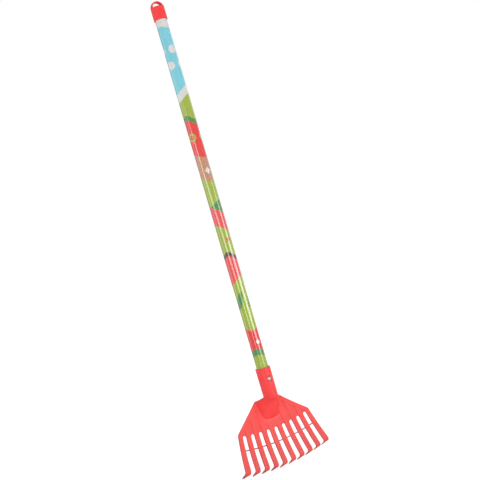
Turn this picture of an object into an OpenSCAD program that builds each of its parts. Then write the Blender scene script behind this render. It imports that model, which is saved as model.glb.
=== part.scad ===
// Sand rake for children: a moulded head with ten hooked tines on a film-covered steel tube,
// held by one screw, with a moulded cap and hang loop on the other end.
// +Z runs up the handle, the smooth front of the head faces -Y and the hooks point to +Y.
// The origin is where a hook bears, under the middle of the hang loop's arch.

/* [Handle] */
// Length of handle that shows between the head's socket and the end cap
handle_reach = 585; // [300:1:900]
// Outside diameter of the steel tube
tube_d = 19; // [14:0.5:26]
// Wall of the steel tube
tube_wall = 0.8; // [0.5:0.1:2]
// Thickness of the printed film sleeve on the tube
sleeve_wall = 0.25; // [0.1:0.05:0.6]

/* [End cap] */
// Wall of the cap's cup
cap_wall = 1.5; // [1:0.1:3]
// Depth of handle inside the cup
cap_depth = 20; // [10:1:40]
// Thickness of the cup's closed end
cap_floor = 2; // [1.5:0.1:4]
// Thickness of the hang loop's arch at its middle
loop_thick = 2; // [1.5:0.1:3]
// Width of the arch, front to back
loop_depth = 7; // [4:0.5:12]
// Height from the arch's centre up to the cup's closed end
loop_sink = 0.8; // [0.6:0.1:3]
// Chamfer round the cup's upper and lower edges
cap_chamfer = 0.5; // [0.2:0.1:0.8]

/* [Socket] */
// Wall of the socket at its mouth
socket_wall = 2.4; // [1.8:0.1:4]
// Depth of handle inside the socket
socket_depth = 44; // [30:1:80]
// Solid floor under the tube
socket_floor = 4.5; // [3:0.5:10]
// How much the socket's radius shrinks from its mouth to its floor
socket_draft = 0.45; // [0:0.05:0.8]
// Gap round the sleeve in the socket and in the cap
seat_gap = 0.05; // [0.02:0.01:0.15]

/* [Head screw] */
// Share of the socket's depth at which the screw sits below the mouth
screw_share = 0.42; // [0.28:0.01:0.55]
// Diameter of the screw's shank
shank_d = 3.3; // [2.5:0.1:4.5]
// Length of the screw under its head
shank_length = 9.5; // [6:0.5:12]
// Diameter of the screw's head
screw_head_d = 7; // [5.5:0.1:8]
// Height of the screw's head
screw_head_h = 1.6; // [1:0.1:2.2]
// Diameter of the flat recess that the head sits in
recess_d = 9.6; // [8.5:0.1:12]
// Depth of that recess, from the socket's front
recess_depth = 1.3; // [0.8:0.1:1.6]
// Gap round the shank in its holes
shank_gap = 0.1; // [0.05:0.05:0.3]

/* [Head plate] */
// Thickness of the plate and of the tines
plate_thick = 2.4; // [1.6:0.1:4]
// Distance of the plate's front face behind the handle's axis
plate_back = 16.1; // [12:0.1:17]
// Plate's top edge below the socket's mouth
plate_top = 49.3; // [48.5:0.1:60]
// Width of the plate's level top edge
neck_w = 43; // [41:1:60]
// Shoulders below the socket's mouth, measured along the end tines
shoulder_drop = 95.2; // [90:0.1:100]
// Level below the mouth where the plate starts to bow forward
bow_start = 51; // [45:1:70]
// Radius of the forward bow
bow_r = 287; // [200:1:400]
// How far each slope dips inwards between the neck and the shoulder
slope_dip = 0.6; // [0.1:0.1:3]
// Rounding of the corners beside the neck
neck_round = 4; // [2:0.5:10]
// Rounding of the shoulders
shoulder_round = 7; // [2:0.5:10]

/* [Boss] */
// Width of the boss where it meets the plate's top edge
boss_w = 40; // [30:1:46]
// Width of the boss near its lower end
boss_low_w = 32; // [24:1:36]
// Lower end of the boss below the socket's mouth
boss_drop = 85.5; // [78:0.5:92]
// Rounding of the boss's lower corners
boss_round = 12; // [6:1:15]
// How far the ramp bulges out of its straight line
boss_bulge = 2; // [0.5:0.5:4]

/* [Tines] */
// Number of tines
tine_count = 10; // [6:1:11]
// Angle between neighbouring tines
tine_pitch = 2.33; // [2:0.01:2.8]
// Height of the fan's centre above the socket's mouth
fan_height = 266.8; // [220:0.1:320]
// Width of a tine
tine_w = 8.1; // [6:0.1:9]
// Distance of an end tine's outer edge from its middle at the shoulder
end_edge_top = 3; // [2.5:0.1:6]
// The same distance at the bend
end_edge_low = 5.4; // [4.2:0.1:7]
// Slot tops below the socket's mouth, at the middle of the fan
slot_top = 97.7; // [92:0.1:110]
// Cross rib below the mouth, at the middle of the fan
rib_drop = 119.7; // [112:0.1:135]
// Thickness of the cross rib
rib_thick = 1.6; // [1:0.1:3]
// How far the rib's front stays behind the tines' front
rib_inset = 0.4; // [0.2:0.1:1]
// How far the rib stands out behind the tines
rib_stand = 1.2; // [0.5:0.1:3]
// Depth of the shallow flutes above the slots
flute_depth = 0.5; // [0.2:0.1:1]
// Width of a flute where it runs into its slot
flute_low_w = 6; // [4:0.1:6.4]
// Width of a flute at the level of the neck
flute_top_w = 2.6; // [1.5:0.1:4]
// Distance of the flutes' ends below the plate's upper edge
flute_margin = 9; // [6:0.5:14]

/* [Hooks] */
// Start of the bends below the socket's mouth, at the middle of the fan
bend_drop = 149; // [140:0.1:165]
// Radius on the inner side of each bend
bend_inner = 3.5; // [2:0.5:6]
// Angle between a hook and the handle's direction
hook_lean = 66; // [55:1:80]
// Straight length of a hook after its bend
hook_length = 18.4; // [10:0.1:30]
// Width of a hook at its tip
tip_w = 1.6; // [1:0.1:4]
// Thickness of a hook at its tip
tip_thick = 1.1; // [0.8:0.1:2]

/* [Hidden] */
$fn = 96;

// Overrun of every cut past the face that it opens
over = 1;
// Share of the screw head's width that its cross spans
cross_share = 0.6;
// Colour of the head's and the cap's plastic
coral_red = [0.96, 0.29, 0.28];

sleeve_r = tube_d / 2 + sleeve_wall;
seat_r = sleeve_r + seat_gap;
cap_r = seat_r + cap_wall;
socket_r = seat_r + socket_wall;
socket_low_r = socket_r - socket_draft;
socket_end = socket_depth + socket_floor;
screw_drop = socket_depth * screw_share;
recess_floor = socket_r - recess_depth;

// Heights above the socket's mouth
loop_inner_r = cap_r - loop_thick;
cap_top = handle_reach + cap_depth + cap_floor;
loop_centre = cap_top - loop_sink;
hang_height = loop_centre + loop_inner_r;

// Radii round the fan's centre, which lies on the handle's axis above the mouth
plate_top_rho = fan_height + plate_top / 2;
bow_rho = fan_height + bow_start;
slot_top_rho = fan_height + slot_top;
bend_rho = fan_height + bend_drop;
fan_reach = bend_rho + hook_length + bend_inner + plate_thick;
fan_angle = (tine_count + 2) * tine_pitch;

// Angles on the bow, from the plate's straight upper stretch
bend_angle = asin((bend_drop - bow_start) / bow_r);
rib_angle = asin((rib_drop - bow_start) / bow_r);
bend_r = bend_inner + plate_thick;
// Depth of the plate's front face where the bends start, and where the bow's circle has its centre
bow_centre_y = plate_back - bow_r;
bend_y = bow_centre_y + bow_r * cos(bend_angle);
// Centre of the bends and middle of the hooks' tips, as radius and depth
bend_centre = [bend_rho + bend_r * sin(bend_angle), bend_y + bend_r * cos(bend_angle)];
hook_tip = bend_point(hook_lean, bend_r - bend_inner - tip_thick / 2)
    + hook_length * [cos(hook_lean), sin(hook_lean)];
// Depths in front of and behind the whole fan
head_front = bend_y - bend_r;
head_back = hook_tip[1] + plate_thick;
// Extra width on the outer side of the end tines at their bends
end_extra = end_edge_low - tine_w / 2;

// Width of the gap between two tines at a radius
function gap_w(rho) = 2 * rho * tan(tine_pitch / 2) - tine_w;

// Point at a radius along an end tine and at a distance outwards from its middle
function end_tine_point(rho, edge) = let(turn = (tine_count - 1) / 2 * tine_pitch)
    [rho * sin(turn) + edge * cos(turn), fan_height - rho * cos(turn) + edge * sin(turn)];

// Points of a shallow curve between two points, which bends aside to the right by a dip
function dipped(from, to, dip, steps = 12) =
    let(along = (to - from) / norm(to - from),
        aside = [along[1], -along[0]])
    [for (i = [0 : steps]) let(share = i / steps)
        from + (to - from) * share + aside * dip * 4 * share * (1 - share)];

// Points of the side profile at a distance behind its front face, as radius and depth
function bow_point(angle, behind) =
    [bow_rho + (bow_r + behind) * sin(angle), bow_centre_y + (bow_r + behind) * cos(angle)];
function bend_point(lean, behind) =
    bend_centre + (bend_r - behind) * [sin(lean), -cos(lean)];
function bow_path(behind, steps = 16) = [
    [plate_top_rho, plate_back + behind],
    for (i = [0 : steps]) bow_point(bend_angle * i / steps, behind)];
function hook_path(behind, tip_behind, steps = 12) = [
    for (i = [1 : steps]) bend_point((bend_angle + hook_lean) * i / steps - bend_angle, behind),
    bend_point(hook_lean, tip_behind) + hook_length * [cos(hook_lean), sin(hook_lean)]];

function reversed(points) = [for (i = [len(points) - 1 : -1 : 0]) points[i]];

// Corner rounded by an arc that touches both of its sides
function rounded_corner(before, corner, after, radius, steps = 8) =
    let(u = (before - corner) / norm(before - corner),
        v = (after - corner) / norm(after - corner),
        half = acos(u * v) / 2,
        middle = (u + v) / norm(u + v),
        centre = corner + middle * radius / sin(half),
        side = u[0] * v[1] - u[1] * v[0] > 0 ? -1 : 1,
        start = atan2(-middle[1], -middle[0]))
    [for (i = [0 : steps]) centre + radius * [cos(start - side * (90 - half) * (1 - 2 * i / steps)),
                                            sin(start - side * (90 - half) * (1 - 2 * i / steps))]];

function mirrored(points) = concat(points, [for (point = reversed(points)) [-point[0], point[1]]]);

// Everything is drawn with the socket's mouth at zero height, then moved to the hang loop
module from_mouth(height = 0) {
    translate([0, 0, height - hang_height]) children();
}

// Outline drawn in width and height, run through in depth
module through_depth(front, back) {
    translate([0, back, 0]) rotate([90, 0, 0]) linear_extrude(back - front) children();
}

// Place at an angle of the fan: inside, -Z points away from the fan's centre
module at_fan(turn) {
    translate([0, 0, fan_height]) rotate([0, turn, 0]) children();
}

// Profile of radius and depth, swept about the fan's centre
module fan_sweep(sweep = fan_angle) {
    translate([0, 0, fan_height]) rotate([-90, 0, 0]) rotate([0, 0, 90 - sweep / 2])
        rotate_extrude(angle = sweep, $fn = 180) children();
}

// Plate and bow between two distances behind the front face
module sheet_profile(front, back) {
    polygon(concat(bow_path(front), reversed(bow_path(back))));
}

// Plate, bow, bend and the hook that thins towards its tip
module tine_profile() {
    polygon(concat(bow_path(0), hook_path(0, bend_r - bend_inner - tip_thick),
                   reversed(hook_path(plate_thick, plate_thick)), reversed(bow_path(plate_thick))));
}

// Front outline of the plate and the end tines, in width and height
module head_outline() {
    neck = [neck_w / 2, -plate_top];
    shoulder = end_tine_point(fan_height + shoulder_drop, end_edge_top);
    knee = end_tine_point(bend_rho, end_edge_low);
    foot = end_tine_point(fan_reach, end_edge_low);
    slope = dipped(neck, shoulder, slope_dip);
    last = len(slope) - 1;
    polygon(mirrored([each rounded_corner([0, -plate_top], neck, slope[1], neck_round),
                      each [for (i = [1 : last - 1]) slope[i]],
                      each rounded_corner(slope[last - 1], shoulder, knee, shoulder_round), knee, foot]));
}

// Gap between two tines, round at its top
module slot_outline() {
    top_r = gap_w(slot_top_rho) / 2;
    translate([0, -slot_top_rho - top_r]) circle(r = top_r);
    polygon([[-top_r, -slot_top_rho - top_r], [top_r, -slot_top_rho - top_r],
             [gap_w(fan_reach) / 2, -fan_reach], [-gap_w(fan_reach) / 2, -fan_reach]]);
}

// Shallow flute above a slot, narrowing towards the neck
module flute_outline() {
    low = -slot_top_rho - gap_w(slot_top_rho) / 2;
    polygon([[-flute_low_w / 2, low], [flute_low_w / 2, low],
             [flute_top_w / 2, -fan_height - plate_top], [-flute_top_w / 2, -fan_height - plate_top]]);
}

// Wedge that narrows the hooks on both sides of a gap, from the bend to the tips
module tip_wedge() {
    bend_half = gap_w(bend_rho) / 2;
    back_y = bend_y + plate_thick;
    tip_half = hook_tip[0] * tan(tine_pitch / 2) - tip_w / 2;
    spread = (tip_half - bend_half) / (hook_tip[1] - back_y);
    translate([0, 0, -fan_reach]) linear_extrude(fan_reach - bend_rho)
        polygon(mirrored([[bend_half, back_y], [tip_half, hook_tip[1]],
                          [tip_half + spread * over, hook_tip[1] + over]]));
}

// Ramp between the socket's closed end and the plate, with a rounded lower outline
module boss() {
    slab_front = plate_back + plate_thick / 8;
    slab_back = plate_back + plate_thick / 2;
    top = [boss_w / 2, -plate_top - over / 2];
    low = [boss_low_w / 2, -boss_drop];
    middle_drop = (socket_end + boss_drop) / 2;
    hull($fn = 64) {
        from_mouth(-socket_end) cylinder(r = socket_low_r, h = socket_floor / 2);
        from_mouth(-middle_drop) translate([0, plate_back / 2 - boss_bulge, 0])
            cylinder(r = socket_low_r - plate_back / 2, h = rib_thick);
        from_mouth() through_depth(slab_front, slab_back)
            polygon(mirrored([top, each rounded_corner(top, low, [0, -boss_drop], boss_round)]));
    }
}

module plate_and_tines() {
    from_mouth() difference() {
        intersection() {
            fan_sweep() tine_profile();
            through_depth(head_front, head_back) head_outline();
        }
        for (i = [1 : tine_count - 1])
            at_fan((i - tine_count / 2) * tine_pitch)
                through_depth(head_front, head_back) slot_outline();
        for (i = [1 : tine_count - 1])
            at_fan((i - tine_count / 2) * tine_pitch) tip_wedge();
        for (side = [-1, 1])
            at_fan(side * tine_count / 2 * tine_pitch)
                translate([-side * end_extra, 0, 0]) tip_wedge();
        intersection() {
            fan_sweep() sheet_profile(-over, flute_depth);
            through_depth(0, plate_back + plate_thick) intersection() {
                translate([0, -flute_margin]) head_outline();
                translate([0, fan_height]) for (i = [1 : tine_count - 1])
                    rotate((tine_count / 2 - i) * tine_pitch) flute_outline();
            }
        }
    }
}

// Bar across the slots, set back from the tines' front, from the middle of one end tine to the other
module cross_rib() {
    from_mouth() fan_sweep((tine_count - 1) * tine_pitch)
        translate([bow_rho, bow_centre_y]) rotate(-rib_angle)
            translate([-rib_thick / 2, bow_r + rib_inset])
                square([rib_thick, plate_thick + rib_stand - rib_inset]);
}

module rake_head() {
    color(coral_red) {
        difference() {
            union() {
                from_mouth(-socket_end)
                    cylinder(r1 = socket_low_r, r2 = socket_r, h = socket_end);
                boss();
                plate_and_tines();
                cross_rib();
            }
            from_mouth(-socket_depth) cylinder(r = seat_r, h = socket_depth + over);
            from_mouth(-screw_drop) rotate([90, 0, 0]) {
                cylinder(d = shank_d + 2 * shank_gap, h = socket_r + over);
                translate([0, 0, recess_floor]) cylinder(d = recess_d, h = recess_depth + over);
            }
        }
    }
}

// Tube of the handle with the hole that the screw cuts its way through
module handle_layer(inner, outer) {
    difference() {
        from_mouth(-socket_depth) difference() {
            cylinder(r = outer, h = socket_depth + handle_reach + cap_depth);
            translate([0, 0, -over])
                cylinder(r = inner, h = socket_depth + handle_reach + cap_depth + 2 * over);
        }
        from_mouth(-screw_drop) rotate([90, 0, 0])
            cylinder(d = shank_d + 2 * shank_gap, h = outer + over);
    }
}

module handle_tube() {
    color("silver") handle_layer(tube_d / 2 - tube_wall, tube_d / 2);
}

module printed_sleeve() {
    color("yellowgreen") handle_layer(tube_d / 2, sleeve_r);
}

// Self-tapping screw with a domed head on the recess's floor
module head_screw() {
    dome_r = (pow(screw_head_d / 2, 2) + pow(screw_head_h, 2)) / (2 * screw_head_h);
    point_h = shank_d;
    slot_w = screw_head_d / 8;
    slot_length = screw_head_d * cross_share;
    color("gainsboro") from_mouth(-screw_drop) rotate([90, 0, 0])
        translate([0, 0, recess_floor]) difference() {
            union() {
                intersection() {
                    translate([0, 0, screw_head_h - dome_r]) sphere(r = dome_r);
                    cylinder(d = screw_head_d, h = screw_head_h + over);
                }
                translate([0, 0, point_h - shank_length])
                    cylinder(d = shank_d, h = shank_length - point_h);
                translate([0, 0, -shank_length])
                    cylinder(d1 = shank_d / 8, d2 = shank_d, h = point_h);
            }
            for (turn = [45, 135])
                rotate(turn) translate([-slot_length / 2, -slot_w / 2, screw_head_h / 2])
                    cube([slot_length, slot_w, screw_head_h]);
        }
}

// Cup on the tube's upper end with a domed hang loop over it
module end_cap() {
    top = cap_depth + cap_floor;
    color(coral_red) {
        from_mouth(handle_reach) rotate_extrude() polygon([
            [seat_r, 0], [cap_r - cap_chamfer, 0], [cap_r, cap_chamfer],
            [cap_r, top - cap_chamfer], [cap_r - cap_chamfer, top], [0, top],
            [0, cap_depth], [seat_r, cap_depth]]);
        from_mouth(loop_centre) intersection() {
            difference() {
                sphere(r = cap_r);
                rotate([90, 0, 0]) cylinder(r = loop_inner_r, h = 2 * cap_r, center = true);
            }
            translate([-cap_r, -loop_depth / 2, 0]) cube([2 * cap_r, loop_depth, cap_r]);
        }
    }
}

handle_tube();
printed_sleeve();
rake_head();
head_screw();
end_cap();
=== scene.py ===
"""Looks of the sand rake: materials, floor, studio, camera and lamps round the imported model."""
import math
from collections import namedtuple

import bpy
from mathutils import Matrix, Vector


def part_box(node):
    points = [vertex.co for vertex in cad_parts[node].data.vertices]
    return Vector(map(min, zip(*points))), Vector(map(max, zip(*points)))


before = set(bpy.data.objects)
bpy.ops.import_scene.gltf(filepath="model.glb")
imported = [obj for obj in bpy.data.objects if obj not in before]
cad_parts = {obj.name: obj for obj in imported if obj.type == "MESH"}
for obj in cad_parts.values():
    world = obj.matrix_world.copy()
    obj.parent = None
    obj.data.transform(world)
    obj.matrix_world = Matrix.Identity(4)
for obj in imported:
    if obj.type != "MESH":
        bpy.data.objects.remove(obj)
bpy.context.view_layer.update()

MM = 0.001
UPWARD = Vector((0.0, 0.0, 1.0))
# Height of the socket's mouth, from which the print and the camera are measured
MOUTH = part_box("rake_head")[1].z
# Lowest point of the tines, where the floor is
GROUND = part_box("rake_head")[0].z
HANDLE_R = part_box("printed_sleeve")[1].x
# Length of film that shows between the socket and the cap, in millimetres
PRINT_TOP = (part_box("end_cap")[0].z - MOUTH) / MM
# Height of the screw's axis, and the front of its head
SCREW_Z = (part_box("head_screw")[0].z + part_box("head_screw")[1].z) / 2
SCREW_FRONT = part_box("head_screw")[0].y
# Radius of the screw's recess, with its front edge and a depth just behind its floor
RECESS_R = 4.9 * MM
RECESS_FRONT = -11.95 * MM
RECESS_BACK = -10.0 * MM
# Distances from the handle's axis where the thick socket and boss end, and where only thin plate is left
CORE_R = 14.0 * MM
PLATE_R = 34.0 * MM
# Heights of the ramp-shaped boss on the plate, and those below which tines and hooks are shaded
BOSS_START = MOUTH - 50.0 * MM
BOSS_END = MOUTH - 85.5 * MM
TINES_BELOW = MOUTH - 85.0 * MM
HOOKS_BELOW = MOUTH - 125.0 * MM
# Depths behind the handle's axis between which the shade on the hooks grows
HOOK_LIGHT_Y = 3.0 * MM
HOOK_DARK_Y = 12.0 * MM
# Stretch of the head, from the tips upwards, that is painted darker and duller as shade
TINE_SHADE_HEIGHT = 110.0 * MM
# Centre of the fan of tines and angle between two of them
FAN_Z = MOUTH + 266.8 * MM
TINE_PITCH = math.radians(2.33)
# Distance of the cross rib from the fan's centre, and half its height
RIB_REACH = 386.5 * MM
RIB_HALF = 1.6 * MM
# Half the width of a slot at the rib, as a share of the angle between two tines
SLOT_HALF = 0.245


# Node helpers
class Nodes:
    """Short calls that add shader nodes to one material or world and return their outputs."""

    def __init__(self, owner, output="ShaderNodeOutputMaterial"):
        self.owner = owner
        owner.use_nodes = True
        self.tree = owner.node_tree
        self.tree.nodes.clear()
        self.out = self.tree.nodes.new(output)

    def add(self, kind, inputs=None, **settings):
        """New node with its settings, and with its inputs given by name or by number."""
        node = self.tree.nodes.new(kind)
        for key, value in settings.items():
            setattr(node, key, value)
        for key, value in (inputs or {}).items():
            self.join(value, node.inputs[key])
        return node

    def join(self, value, socket):
        """Link an output to a socket, or set the socket to a number, vector or colour."""
        if isinstance(value, bpy.types.NodeSocket):
            self.tree.links.new(value, socket)
        elif socket.type == "RGBA":
            socket.default_value = (*value, 1.0)
        else:
            socket.default_value = value

    def math(self, operation, a, b=0.0):
        return self.add("ShaderNodeMath", {0: a, 1: b}, operation=operation).outputs[0]

    def plus(self, a, b):
        return self.math("ADD", a, b)

    def minus(self, a, b):
        return self.math("SUBTRACT", a, b)

    def times(self, a, b):
        return self.math("MULTIPLY", a, b)

    def length(self, a, b):
        return self.math("SQRT", self.plus(self.times(a, a), self.times(b, b)))

    def ramp(self, value, low, high, to_low=0.0, to_high=1.0):
        """Smooth step of value from low to high."""
        node = self.add("ShaderNodeMapRange", {0: value, 1: low, 2: high, 3: to_low, 4: to_high},
                        interpolation_type="SMOOTHSTEP")
        return node.outputs[0]

    def fall(self, value, low, high, top=1.0):
        """Smooth step from top, where value is under low, to 0, where it is over high."""
        return self.ramp(value, low, high, top, 0.0)

    def mix(self, share, a, b):
        """Colour a with a share of colour b laid over it."""
        # A colour mix has its two colours in inputs 6 and 7, and gives its result in output 2
        return self.add("ShaderNodeMix", {0: share, 6: a, 7: b}, data_type="RGBA").outputs[2]

    def paint(self, ground, layers):
        """Ground colour under a list of layers, each with its share and its colour."""
        colour = ground
        for share, layer in layers:
            colour = self.mix(share, colour, layer)
        return colour

    def noise(self, vector, scale, detail=2.0):
        inputs = {"Vector": vector, "Scale": scale, "Detail": detail}
        return self.add("ShaderNodeTexNoise", inputs).outputs[0]

    def place(self):
        return self.add("ShaderNodeTexCoord").outputs["Object"]

    def split(self, vector):
        return self.add("ShaderNodeSeparateXYZ", {0: vector}).outputs

    def join3(self, x, y, z):
        return self.add("ShaderNodeCombineXYZ", {0: x, 1: y, 2: z}).outputs[0]

    def bump(self, height, distance, strength, normal=None):
        """Normal bent by a height, on top of another bent normal where one is given."""
        inputs = {"Height": height, "Distance": distance, "Strength": strength}
        if normal is not None:
            inputs["Normal"] = normal
        return self.add("ShaderNodeBump", inputs).outputs[0]

    def rounded(self, radius):
        """Normal that rounds sharp edges to the eye."""
        return self.add("ShaderNodeBevel", {"Radius": radius}, samples=6).outputs[0]

    def cavity(self, reach):
        """1 in the open, less in corners and slots no wider than reach."""
        node = self.add("ShaderNodeAmbientOcclusion", {"Distance": reach}, samples=8, only_local=True)
        return node.outputs["AO"]

    def seen(self):
        """1 on the way from the camera, straight or through something clear, and 0 for other light."""
        path = self.add("ShaderNodeLightPath").outputs
        return self.math("MAXIMUM", path["Is Camera Ray"], path["Is Transmission Ray"])

    def finish(self, shader):
        self.tree.links.new(shader, self.out.inputs[0])
        return self.owner


# Coral plastic
PLATE_RED = (0.84, 0.074, 0.066)
SOCKET_RED = (0.82, 0.036, 0.040)
BOSS_PAINTED_LIGHT_RED = (0.95, 0.054, 0.056)
TINE_SHADE_RED = (0.61, 0.094, 0.086)
PALE_RED = (0.86, 0.078, 0.068)
DEEP_RED = (0.78, 0.034, 0.036)
CORNER_SHADE_RED = (0.38, 0.020, 0.020)
SIDE_SHADE_RED = (0.42, 0.060, 0.055)
RIB_SHADE_RED = (0.25, 0.036, 0.034)
HOOK_SHADE_RED = (0.34, 0.050, 0.047)
RECESS_SHADE_RED = (0.30, 0.020, 0.022)


def side_shade_share(n, z):
    """Share of painted shade on the side walls of plate and tines."""
    facing = n.split(n.add("ShaderNodeNewGeometry").outputs["Normal"])
    sideways = n.ramp(n.math("ABSOLUTE", facing[0]), 0.80, 0.95, 0.0, 0.6)
    return n.times(sideways, n.fall(z, TINES_BELOW - 5.0 * MM, TINES_BELOW))


def rib_share(n, x, z):
    """Share of shade on the rib where it lies back between two tines."""
    drop = n.minus(FAN_Z, z)
    off = n.math("ABSOLUTE", n.minus(n.length(x, drop), RIB_REACH))
    # 0 in the middle of a slot and 0.5 in the middle of a tine
    aside = n.math("PINGPONG", n.math("DIVIDE", n.math("ARCTAN2", x, drop), TINE_PITCH), 0.5)
    in_slot = n.fall(aside, SLOT_HALF - 0.02, SLOT_HALF)
    return n.times(n.fall(off, RIB_HALF, RIB_HALF + 0.6 * MM, 0.6), in_slot)


def hook_share(n, y, z):
    """Share of shade on the hooks, whose ends turn away from the light."""
    back = n.ramp(y, HOOK_LIGHT_Y, HOOK_DARK_Y, 0.0, 0.92)
    return n.times(back, n.fall(z, HOOKS_BELOW - 5.0 * MM, HOOKS_BELOW))


def recess_shade_share(n, x, y, z):
    """Share of painted shade in the screw's recess."""
    off = n.length(x, n.minus(z, SCREW_Z))
    inside = n.fall(off, RECESS_R - 0.4 * MM, RECESS_R, 0.35)
    inside = n.times(inside, n.ramp(y, RECESS_FRONT, RECESS_FRONT + 0.2 * MM))
    return n.times(inside, n.fall(y, RECESS_BACK, RECESS_BACK + 1.0 * MM))


def coral_plastic(name):
    """Moulded plastic with slow colour drift and orange-peel skin, satin on the plate."""
    n = Nodes(bpy.data.materials.new(name))
    place = n.place()
    x, y, z = n.split(place)
    radius = n.length(x, y)
    drift = n.noise(place, 28.0, 3.0)
    speck = n.noise(place, 160.0)
    # The thick parts are the socket, the cap and the boss, which are more polished than the plate
    above_plate = n.ramp(z, BOSS_END - 2.0 * MM, BOSS_END + 1.0 * MM)
    thick = n.times(n.fall(radius, CORE_R, PLATE_R), above_plate)
    colour = n.paint(PLATE_RED, [
        (thick, SOCKET_RED),
        # Painted light: the boss faces down, so it is given a brighter red in place of the light it
        # misses
        (n.times(thick, n.fall(z, BOSS_START - 12.0 * MM, BOSS_START)), BOSS_PAINTED_LIGHT_RED),
        # Painted shade: the tines grow darker and duller towards their tips
        (n.fall(z, GROUND, GROUND + TINE_SHADE_HEIGHT, 0.75), TINE_SHADE_RED),
        (n.ramp(drift, 0.35, 0.7, 0.0, 0.30), PALE_RED),
        (n.ramp(speck, 0.45, 0.75, 0.0, 0.12), DEEP_RED),
        # Painted shade: corners and narrow slots are darkened by ambient occlusion
        (n.fall(n.cavity(5.0 * MM), 0.35, 0.95, 0.28), CORNER_SHADE_RED),
        (side_shade_share(n, z), SIDE_SHADE_RED),
        (rib_share(n, x, z), RIB_SHADE_RED),
        (hook_share(n, y, z), HOOK_SHADE_RED),
        (recess_shade_share(n, x, y, z), RECESS_SHADE_RED),
    ])
    skin = n.bump(n.noise(place, 900.0), 0.04 * MM, 0.35, n.rounded(0.5 * MM))
    skin = n.bump(drift, 0.6 * MM, 0.12, skin)
    satin = n.ramp(n.noise(place, 60.0, 3.0), 0.3, 0.7, 0.54, 0.62)
    shader = n.add("ShaderNodeBsdfPrincipled", {
        "Base Color": colour, "Roughness": n.minus(satin, n.times(thick, 0.22)), "Normal": skin,
        "IOR": 1.40, "Specular IOR Level": n.ramp(radius, CORE_R, PLATE_R, 0.50, 0.36),
        "Subsurface Weight": 0.12, "Subsurface Scale": 1.5 * MM,
        "Subsurface Radius": (1.0, 0.25, 0.2)})
    return n.finish(shader.outputs[0])


# Printed film
SKY = (0.150, 0.505, 0.600)
CREAM = (0.600, 0.590, 0.560)
LIME = (0.285, 0.375, 0.008)
LEAF = (0.034, 0.205, 0.028)
RED = (0.670, 0.008, 0.004)
CORAL = (0.690, 0.042, 0.036)
MAROON = (0.060, 0.006, 0.005)
TAN = (0.450, 0.200, 0.098)
GRAIN = (0.85, 0.83, 0.78)
CLOUD = (0.10, 0.08, 0.06)
# Motifs in one row round the handle, and the share of one by which every other row is shifted
IN_ROW = 3.0
STAGGER = 0.5
GIRTH = 2 * math.pi * HANDLE_R / MM
# Half the width of the soft edge of a band and of a motif, in millimetres
BAND_SOFT = 0.25
MOTIF_SOFT = 0.2
# Place of the seam's two edges, in turns to each side of the handle's front
SEAM_TURN = 0.47


class Film(Nodes):
    """Nodes of the film, with its height above the socket in millimetres and its turn from the front."""

    def __init__(self, owner):
        super().__init__(owner)
        x, y, z = self.split(self.place())
        self.up = self.times(self.minus(z, MOUTH), 1 / MM)
        self.turn = self.math("DIVIDE", self.math("ARCTAN2", x, self.times(y, -1.0)), 2 * math.pi)

    def wave(self, count, swing, start):
        """Height that swings up and down count times round the handle."""
        angle = self.times(self.plus(self.turn, start), 2 * math.pi * count)
        return self.times(self.math("SINE", angle), swing)

    def cell(self, row):
        """Place inside a cell of staggered rows, in millimetres from the cell's middle."""
        level = self.math("DIVIDE", self.up, row)
        shift = self.times(self.math("MODULO", self.math("FLOOR", level), 2.0), STAGGER)
        across = self.plus(self.times(self.plus(self.turn, 0.5), IN_ROW), shift)
        a = self.times(self.minus(self.math("FRACT", across), 0.5), GIRTH / IN_ROW)
        b = self.times(self.minus(self.math("FRACT", level), 0.5), row)
        return a, b

    def disc(self, a, b, radius, tall=1.0):
        """1 inside a disc, or inside an oval that is tall times higher than wide."""
        far = self.length(a, self.math("DIVIDE", b, tall))
        return self.fall(far, radius - MOTIF_SOFT, radius + MOTIF_SOFT)


def dots(n, a, b):
    """Large round dots."""
    return n.disc(a, b, 6.8)


def spots(n, a, b):
    """Small round spots."""
    return n.disc(a, b, 3.4)


def rings(n, a, b):
    """Round rings, each a disc less a smaller one."""
    return n.minus(n.disc(a, b, 7.0), n.disc(a, b, 3.8))


def leaves(n, a, b):
    """Tall slim ovals that lean to one side."""
    return n.disc(n.minus(a, n.times(b, 0.35)), b, 5.2, 2.6)


def diamonds(n, a, b):
    """Diamonds a little taller than wide."""
    size = n.plus(n.math("ABSOLUTE", a), n.times(n.math("ABSOLUTE", b), 0.8))
    return n.fall(size, 4.8 - MOTIF_SOFT, 4.8 + MOTIF_SOFT)


# Height of one row of each motif, in millimetres
ROWS = {dots: 26.0, spots: 17.0, rings: 22.0, leaves: 32.0, diamonds: 16.0}

# The lower edge of a band lies at a level in millimetres above the socket, and swings up and down
# by some millimetres, count times round the handle, from a start in turns. The band has a ground
# colour, and some have a motif in an ink of its own.
Band = namedtuple("Band", "level count swing start ground motif ink", defaults=(None, None))
BANDS = [
    Band(17.0, 1.0, 5.0, 0.35, LEAF),
    Band(27.0, 1.0, 5.0, 0.35, RED, spots, CREAM),
    Band(70.0, 1.0, 8.0, 0.80, LIME, leaves, LEAF),
    Band(145.0, 1.0, 7.0, 0.10, CORAL),
    Band(182.0, 2.0, 4.0, 0.25, MAROON),
    Band(189.0, 2.0, 4.0, 0.25, LIME, spots, RED),
    Band(232.0, 1.0, 7.0, 0.55, CORAL),
    Band(262.0, 1.0, 7.0, 0.55, LEAF),
    Band(274.0, 1.0, 6.0, 0.05, LIME),
    Band(314.0, 2.0, 4.0, 0.40, TAN, diamonds, CREAM),
    Band(356.0, 1.0, 6.0, 0.70, RED, rings, LIME),
    Band(410.0, 2.0, 4.0, 0.30, LEAF),
    Band(418.0, 2.0, 4.0, 0.30, LIME),
    Band(452.0, 1.0, 7.0, 0.05, CREAM),
    Band(466.0, 1.0, 7.0, 0.05, SKY, dots, CREAM),
    Band(571.0, 2.0, 2.0, 0.30, CREAM),
]


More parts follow.
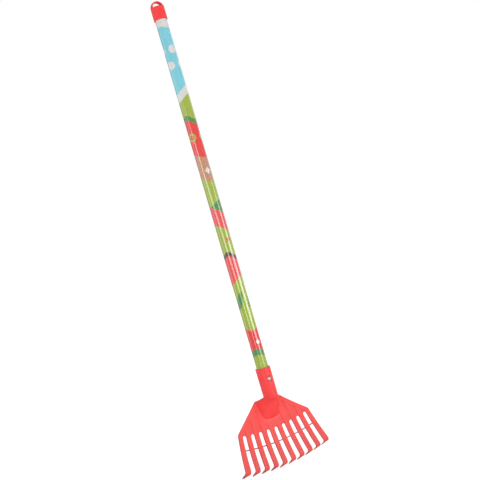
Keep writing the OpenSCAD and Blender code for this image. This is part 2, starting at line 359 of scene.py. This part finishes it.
def band_colour(n, band, top):
    """Ground of one band, with those rows of its motif that lie whole inside the band."""
    if band.motif is None:
        return band.ground
    row = ROWS[band.motif]
    first = math.ceil((band.level + band.swing) / row) * row
    last = math.floor(top / row) * row
    inside = n.times(n.ramp(n.up, first - 0.1, first), n.fall(n.up, last, last + 0.1))
    return n.mix(n.times(band.motif(n, *n.cell(row)), inside), band.ground, band.ink)


def print_colour(n):
    """Made-up print of wavy bands, one over the other from the lime ground at the socket upwards."""
    colour = LIME
    tops = [band.level - band.swing for band in BANDS[1:]] + [PRINT_TOP]
    for band, top in zip(BANDS, tops):
        edge = n.plus(n.wave(band.count, band.swing, band.start), band.level)
        share = n.ramp(n.minus(n.up, edge), -BAND_SOFT, BAND_SOFT)
        colour = n.mix(share, colour, band_colour(n, band, top))
    return colour


def printed_film():
    """Gloss film with a print, fine grain, lengthwise draw lines and a seam along its back."""
    n = Film(bpy.data.materials.new("printed_film"))
    place = n.place()
    colour = n.paint(print_colour(n), [
        (n.ramp(n.noise(place, 2400.0, 1.0), 0.3, 0.7, 0.0, 0.03), GRAIN),
        (n.ramp(n.noise(place, 45.0), 0.4, 0.75, 0.0, 0.07), CLOUD),
    ])
    drawn = n.noise(n.join3(n.times(n.turn, 26.0), 0.0, n.times(n.up, 0.004)), 0.35, 1.0)
    from_seam = n.math("ABSOLUTE", n.minus(n.math("ABSOLUTE", n.turn), SEAM_TURN))
    normal = n.bump(drawn, 0.6 * MM, 0.02)
    normal = n.bump(n.fall(from_seam, 0.0, 0.006), 0.1 * MM, 0.8, normal)
    shader = n.add("ShaderNodeBsdfPrincipled", {
        "Base Color": colour, "Roughness": 0.5, "Specular IOR Level": 0.0, "Normal": normal,
        "Coat Weight": 1.0, "Coat Roughness": 0.145, "Coat IOR": 1.8, "Coat Normal": normal})
    return n.finish(shader.outputs[0])


# Metals
# The screw's steel is tinted pink by a painted reflection of the red plastic round it
STEEL_WITH_RED_REFLECTION = (0.84, 0.68, 0.66)
STAINED_STEEL_WITH_RED_REFLECTION = (0.70, 0.53, 0.51)
CROSS_SHADE_STEEL = (0.20, 0.12, 0.12)
RIM_SHADE_AND_RED_REFLECTION = (0.56, 0.24, 0.23)
PALE_ZINC = (0.62, 0.63, 0.65)
GREY_ZINC = (0.47, 0.48, 0.51)
# Depths between which painted shade darkens the cross in the screw's head
CROSS_EDGE = SCREW_FRONT + 0.4 * MM
CROSS_FLOOR = SCREW_FRONT + 1.1 * MM
# Radii between which the head's bright middle passes into its rim of painted shade and red reflection
RIM_INNER = 2.5 * MM
RIM_OUTER = 3.3 * MM


def screw_steel():
    """Bright plated steel with turning marks and stains, tinted pink by a painted reflection of the red
    plastic, with painted shade in the cross and painted shade and red reflection at the head's rim.
    """
    n = Nodes(bpy.data.materials.new("screw_steel"))
    place = n.place()
    x, y, z = n.split(place)
    off = n.length(x, n.minus(z, SCREW_Z))
    marks = n.noise(n.join3(n.times(off, 9000.0), 0.0, 0.0), 1.0)
    stain = n.noise(place, 700.0, 3.0)
    colour = n.paint(STEEL_WITH_RED_REFLECTION, [
        (n.ramp(stain, 0.35, 0.7), STAINED_STEEL_WITH_RED_REFLECTION),
        (n.ramp(y, CROSS_EDGE, CROSS_FLOOR, 0.0, 0.7), CROSS_SHADE_STEEL),
        (n.ramp(off, RIM_INNER, RIM_OUTER), RIM_SHADE_AND_RED_REFLECTION),
    ])
    shader = n.add("ShaderNodeBsdfPrincipled", {
        "Base Color": colour, "Metallic": 1.0, "Roughness": n.ramp(stain, 0.3, 0.7, 0.34, 0.48),
        "Normal": n.bump(marks, 0.03 * MM, 0.5, n.rounded(0.25 * MM))})
    return n.finish(shader.outputs[0])


def tube_steel():
    """Zinc-plated steel, drawn lengthwise. It hides under the film, but shows when that is off."""
    n = Nodes(bpy.data.materials.new("tube_steel"))
    place = n.place()
    x, y, z = n.split(place)
    round_axis = n.times(n.math("ARCTAN2", y, x), 30.0)
    lines = n.noise(n.join3(round_axis, 0.0, n.times(z, 4.0)), 1.0, 4.0)
    spangle = n.add("ShaderNodeTexVoronoi", {"Vector": place, "Scale": 260.0}).outputs["Color"]
    shader = n.add("ShaderNodeBsdfPrincipled", {
        "Base Color": n.mix(n.times(n.split(spangle)[0], 0.35), PALE_ZINC, GREY_ZINC),
        "Metallic": 1.0, "Roughness": n.ramp(lines, 0.3, 0.7, 0.28, 0.42),
        "Normal": n.bump(lines, 0.2 * MM, 0.25)})
    return n.finish(shader.outputs[0])


def dress(name, material):
    """Give one piece of the frame its material."""
    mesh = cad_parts[name].data
    mesh.materials.clear()
    mesh.materials.append(material)


dress("rake_head", coral_plastic("coral_plastic_head"))
dress("end_cap", coral_plastic("coral_plastic_cap"))
dress("printed_sleeve", printed_film())
dress("handle_tube", tube_steel())
dress("head_screw", screw_steel())

# Floor
WHITE = (1.0, 1.0, 1.0)
CARD = (0.80, 0.80, 0.80)
LIT_CARD = (0.62, 0.62, 0.62)
LIT_MOTTLE = (0.58, 0.58, 0.58)
FLOOR_SIDE = 60.0
# Distances from the rake between which the floor's own glow grows
GLOW_NEAR = 0.4
GLOW_FAR = 3.0
# Drop from the tines to the floor, so that the two don't share a plane
FLOOR_DROP = 0.4 * MM


def floor_material():
    """Matt white card that the camera sees as pure white, apart from the rake's soft shadow."""
    n = Nodes(bpy.data.materials.new("floor_white"))
    place = n.place()
    x, y, _ = n.split(place)
    mottled = n.ramp(n.noise(place, 9.0), 0.3, 0.7, 0.0, 0.04)
    matt = n.add("ShaderNodeBsdfDiffuse", {"Color": n.mix(mottled, LIT_CARD, LIT_MOTTLE)})
    # The glow lifts the lit card to white, near the rake and far from it
    lift = n.ramp(n.length(x, y), GLOW_NEAR, GLOW_FAR, 0.69, 0.85)
    glow = n.add("ShaderNodeEmission", {"Color": WHITE, "Strength": lift})
    shown = n.add("ShaderNodeAddShader", {0: matt.outputs[0], 1: glow.outputs[0]})
    card = n.add("ShaderNodeBsdfDiffuse", {"Color": CARD})
    spill = n.add("ShaderNodeEmission", {"Color": WHITE, "Strength": 0.15})
    bounce = n.add("ShaderNodeAddShader", {0: card.outputs[0], 1: spill.outputs[0]})
    pick = n.add("ShaderNodeMixShader", {0: n.seen(), 1: bounce.outputs[0], 2: shown.outputs[0]})
    return n.finish(pick.outputs[0])


bpy.ops.mesh.primitive_plane_add(size=FLOOR_SIDE, location=(0.0, 0.0, GROUND - FLOOR_DROP))
floor = bpy.context.object
floor.name = "floor"
floor.data.materials.append(floor_material())

# World

# Level direction from the rake to the studio's front, where most of the light comes from
FRONT_SIDE = (-0.496, -0.868, 0.0)
DAYLIGHT = (0.98, 0.99, 1.0)
# Strength of the light from the studio's back and from its front
BACK_LIGHT = 0.34
FRONT_LIGHT = 0.81


def studio():
    """World that is white to the camera, and lights the rake more from its front than from its back."""
    n = Nodes(bpy.data.worlds.new("studio"), "ShaderNodeOutputWorld")
    way = n.add("ShaderNodeTexCoord").outputs["Generated"]
    toward = n.add("ShaderNodeVectorMath", {0: way, 1: FRONT_SIDE}, operation="DOT_PRODUCT")
    level = n.ramp(toward.outputs["Value"], -0.5, 0.6, BACK_LIGHT, FRONT_LIGHT)
    ambient = n.add("ShaderNodeBackground", {"Color": DAYLIGHT, "Strength": level})
    white = n.add("ShaderNodeBackground", {"Color": WHITE, "Strength": 1.0})
    pick = n.add("ShaderNodeMixShader", {0: n.seen(), 1: ambient.outputs[0], 2: white.outputs[0]})
    return n.finish(pick.outputs[0])


bpy.context.scene.world = studio()

# Camera

# Its place and axes were found by fitting a perspective view to the photo's outlines.
# The picture is rolled, because the rake leans in it and stands upright here.
EYE = Vector((-0.69239, -1.21267, 0.14903 + MOUTH))
RIGHT = Vector((0.83126, -0.47950, -0.28123))
DOWN = Vector((-0.22259, 0.17647, -0.95881))
FORWARD = Vector((0.50938, 0.85961, 0.03996))
# Side of the picture, focal length and height of the camera's axis in it, in the photo's pixels
FRAME_PX = 480.0
FOCAL_PX = 868.48
CENTRE_Y_PX = 240.86

camera_data = bpy.data.cameras.new("camera")
camera_data.lens = FOCAL_PX / FRAME_PX * camera_data.sensor_width
camera_data.shift_y = (CENTRE_Y_PX - FRAME_PX / 2) / FRAME_PX
camera_data.clip_start = 0.05
camera_data.clip_end = 100.0
camera = bpy.data.objects.new("camera", camera_data)
bpy.context.scene.collection.objects.link(camera)
axes = Matrix((RIGHT, -DOWN, -FORWARD)).transposed().to_4x4()
camera.matrix_world = Matrix.Translation(EYE) @ axes
bpy.context.scene.camera = camera

# Lamps

# Angle of the camera round the rake
TO_CAMERA = math.atan2(EYE.x, -EYE.y)
# Middle of the head, which the side lamps face
AIM = Vector((0.0, 0.0, (MOUTH + GROUND) / 2))
# Height of the side lamps, and distances of both kinds of lamp from the handle's axis
SIDE_Z = -0.2
SIDE_REACH = 2.2
STREAK_REACH = 2.0


def around(degrees, distance, height):
    """Point at an angle from the camera's side of the rake, turned to the picture's right."""
    angle = TO_CAMERA + math.radians(degrees)
    return Vector((distance * math.sin(angle), -distance * math.cos(angle), height))


def panel(name, place, target, size, power, along=UPWARD):
    """Rectangular area light that faces target, with its second side along a direction."""
    data = bpy.data.lights.new(name, "AREA")
    data.shape = "RECTANGLE"
    data.size, data.size_y = size
    data.energy = power
    lamp = bpy.data.objects.new(name, data)
    bpy.context.scene.collection.objects.link(lamp)
    z = (place - target).normalized()
    y = (along - z * along.dot(z)).normalized()
    x = y.cross(z)
    lamp.matrix_world = Matrix.Translation(place) @ Matrix((x, y, z)).transposed().to_4x4()


def strip(name, start, end, width, power):
    """Long narrow light between two points, which draws a streak along the glossy handle."""
    middle = (start + end) / 2
    on_axis = Vector((0.0, 0.0, middle.z))
    panel(name, middle, on_axis, (width, (end - start).length), power, end - start)


# The side lamps haze the edges of the handle, and hardly light the front of the head
panel("left", around(-92.0, SIDE_REACH, SIDE_Z), AIM, size=(2.0, 1.6), power=11.0)
panel("right", around(125.0, SIDE_REACH, SIDE_Z), AIM, size=(1.6, 1.6), power=8.0)
strip("streak_left", around(-47.0, STREAK_REACH, 0.12), around(-1.0, STREAK_REACH, -0.66),
      width=0.42, power=9.0)
strip("streak_right", around(78.0, STREAK_REACH, -0.28), around(36.0, STREAK_REACH, -0.74),
      width=0.55, power=15.0)

bpy.context.scene.view_settings.view_transform = "Standard"
